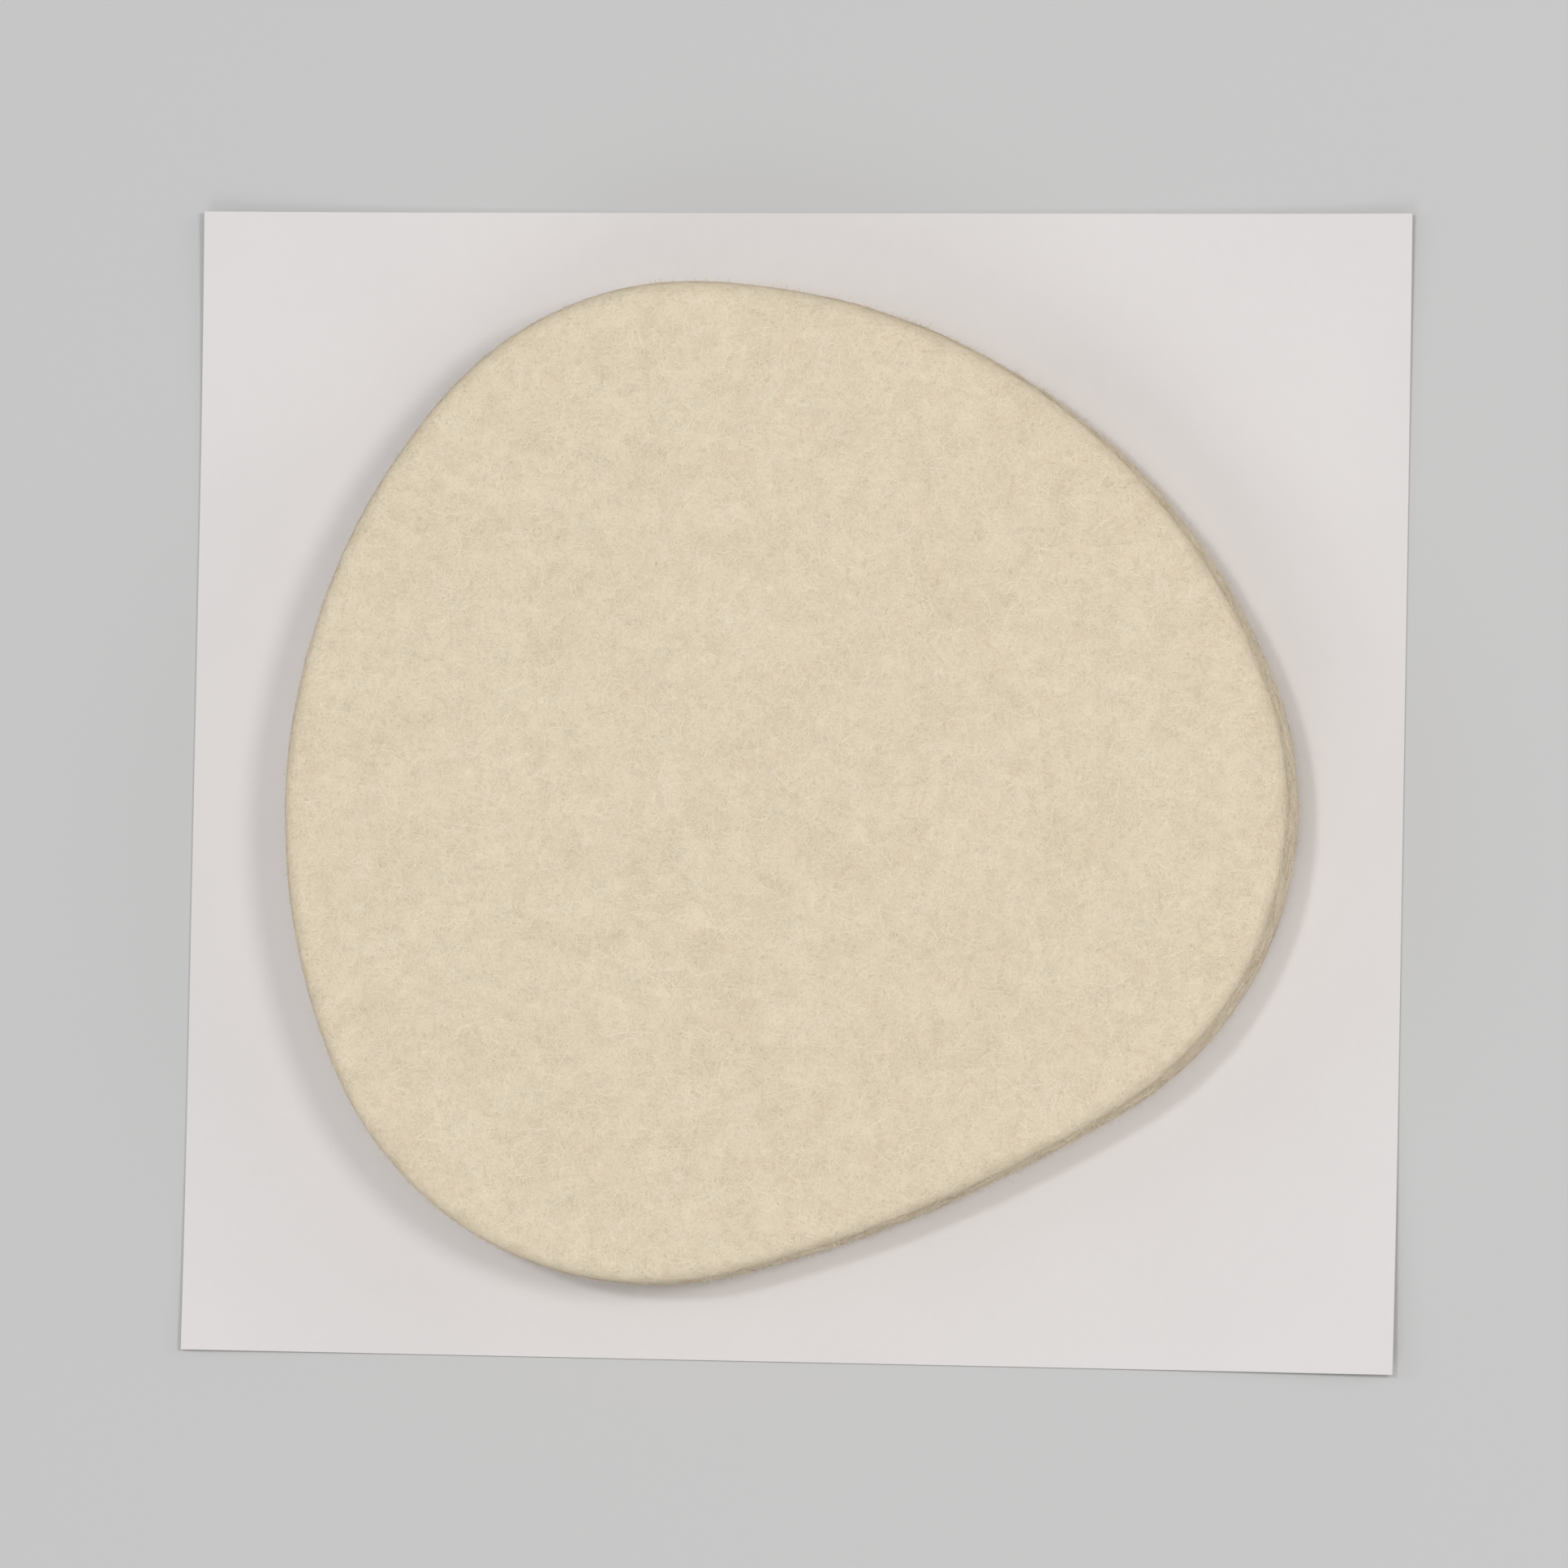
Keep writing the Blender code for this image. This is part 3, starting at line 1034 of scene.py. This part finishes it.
def floor():
    """A pale floor with painted light that grows lighter far out, where the lamps don't
    reach it.
    """
    bpy.ops.mesh.primitive_plane_add(size=FLOOR_SIZE, location=(0, 0, -FLOOR_DROP))
    plane = bpy.context.object
    plane.name = "floor"
    graph = Graph("Pale floor")
    away = graph.node(
        "ShaderNodeVectorMath", {0: graph.place()}, operation="LENGTH"
    ).outputs["Value"]
    # Painted light: the floor's colour lightens with distance from the part
    graph.set(
        Base_Color=graph.mix(graph.remap(away, *FLOOR_PAINTED_LIGHT_FADE), FLOOR_PALE, FLOOR_FAR_PAINTED_LIGHT),
        Roughness=FLOOR_ROUGHNESS,
        Specular_IOR_Level=FLOOR_SPECULAR,
    )
    plane.data.materials.append(graph.material)


# Lamps: (name, turn from +X, height angle, distance, size, watts, colour)
LAMPS = (
    ("overhead_box", 100, 84, 0.95, 0.60, 0.9, (1.0, 0.99, 0.98)),
    ("left_lamp", 140, 76, 1.00, 0.09, 1.45, (0.98, 0.985, 1.0)),
    ("right_box", 12, 58, 0.95, 0.22, 2.4, (1.0, 0.985, 0.96)),
    ("low_right_box", 15, 22, 0.90, 0.40, 0.8, (1.0, 0.99, 0.97)),
    ("low_left_box", 175, 28, 0.90, 0.40, 0.75, (0.94, 0.965, 1.0)),
    ("front_box", -105, 38, 0.90, 0.50, 1.2, (1.0, 0.99, 0.98)),
)
SKY_COLOUR = (0.94, 0.965, 1.0, 1.0)
SKY_STRENGTH = 0.36


def aim_direction(turn, rise):
    """The direction at a turn from +X and an angle over the floor, in degrees."""
    turn, rise = math.radians(turn), math.radians(rise)
    level = math.cos(rise)
    return Vector((level * math.cos(turn), level * math.sin(turn), math.sin(rise)))


def lighting():
    """Round lamps that all face the origin, and a dim even sky."""
    for name, turn, rise, distance, size, power, colour in LAMPS:
        lamp = bpy.data.lights.new(name, "AREA")
        lamp.shape = "DISK"
        lamp.size = size
        lamp.energy = power
        lamp.color = colour
        made = linked(name, lamp)
        made.location = distance * aim_direction(turn, rise)
        made.rotation_euler = made.location.to_track_quat("Z", "Y").to_euler()
    world = bpy.data.worlds.new("Soft studio")
    world.use_nodes = True
    sky = world.node_tree.nodes["Background"]
    sky.inputs["Color"].default_value = SKY_COLOUR
    sky.inputs["Strength"].default_value = SKY_STRENGTH
    bpy.context.scene.world = world
    bpy.context.scene.view_settings.view_transform = "Standard"


# The camera looks down, leaning a little from the right and the near side
LEAN_RIGHT = math.radians(10.5)
LEAN_NEAR = math.radians(2.5)
CAMERA_DISTANCE = 0.75
CAMERA_LENS = 250.0
CLIP_NEAR = 0.01
CLIP_FAR = 10.0
# The card lies slightly clockwise in the picture
PICTURE_TURN = math.radians(1.1)


def camera():
    """The camera at the photograph's angle, aimed at the middle of the part."""
    view = bpy.data.cameras.new("camera")
    view.lens = CAMERA_LENS
    view.clip_start = CLIP_NEAR
    view.clip_end = CLIP_FAR
    made = linked("camera", view)
    back = Vector((math.tan(LEAN_RIGHT), -math.tan(LEAN_NEAR), 1.0)).normalized()
    right = Vector((0.0, 1.0, 0.0)).cross(back).normalized()
    axes = Matrix((right, back.cross(right), back)).transposed()
    turned = axes @ Matrix.Rotation(PICTURE_TURN, 3, "Z")
    middle = Vector((0.0, 0.0, (CAD_BOX[0].z + CAD_BOX[1].z) / 2))
    place = Matrix.Translation(middle + back * CAMERA_DISTANCE)
    made.matrix_world = place @ turned.to_4x4()
    bpy.context.scene.camera = made


def dress(piece, slot, *nodes):
    """Puts a piece on the part's one body and hides the nodes it stands for. The slot is
    not used.
    """
    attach(piece, BODY)
    if nodes:
        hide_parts(*nodes)


def build():
    camera()
    lighting()
    floor()

    body = felt_body(felt_material())
    dress(body, "felt", "felt_pad")
    tints = fibre_materials()
    dress(top_fibres("felt_top_fibres_a", 21, tints), "felt")
    dress(top_fibres("felt_top_fibres_b", 22, tints), "felt")
    dress(rim_fibres("felt_rim_fibres", 23, tints), "felt")
    dress(wall_fibres("felt_wall_fibres", 24, tints), "felt")
    dress(edge_fuzz("felt_edge_fuzz", 25, tints), "felt")
    dress(top_nap("felt_top_nap", 26, tints), "felt")

    dress(adhesive_layer(adhesive_material()), "adhesive", "adhesive_film")
    dress(release_card(card_material()), "card", "release_card")


build()
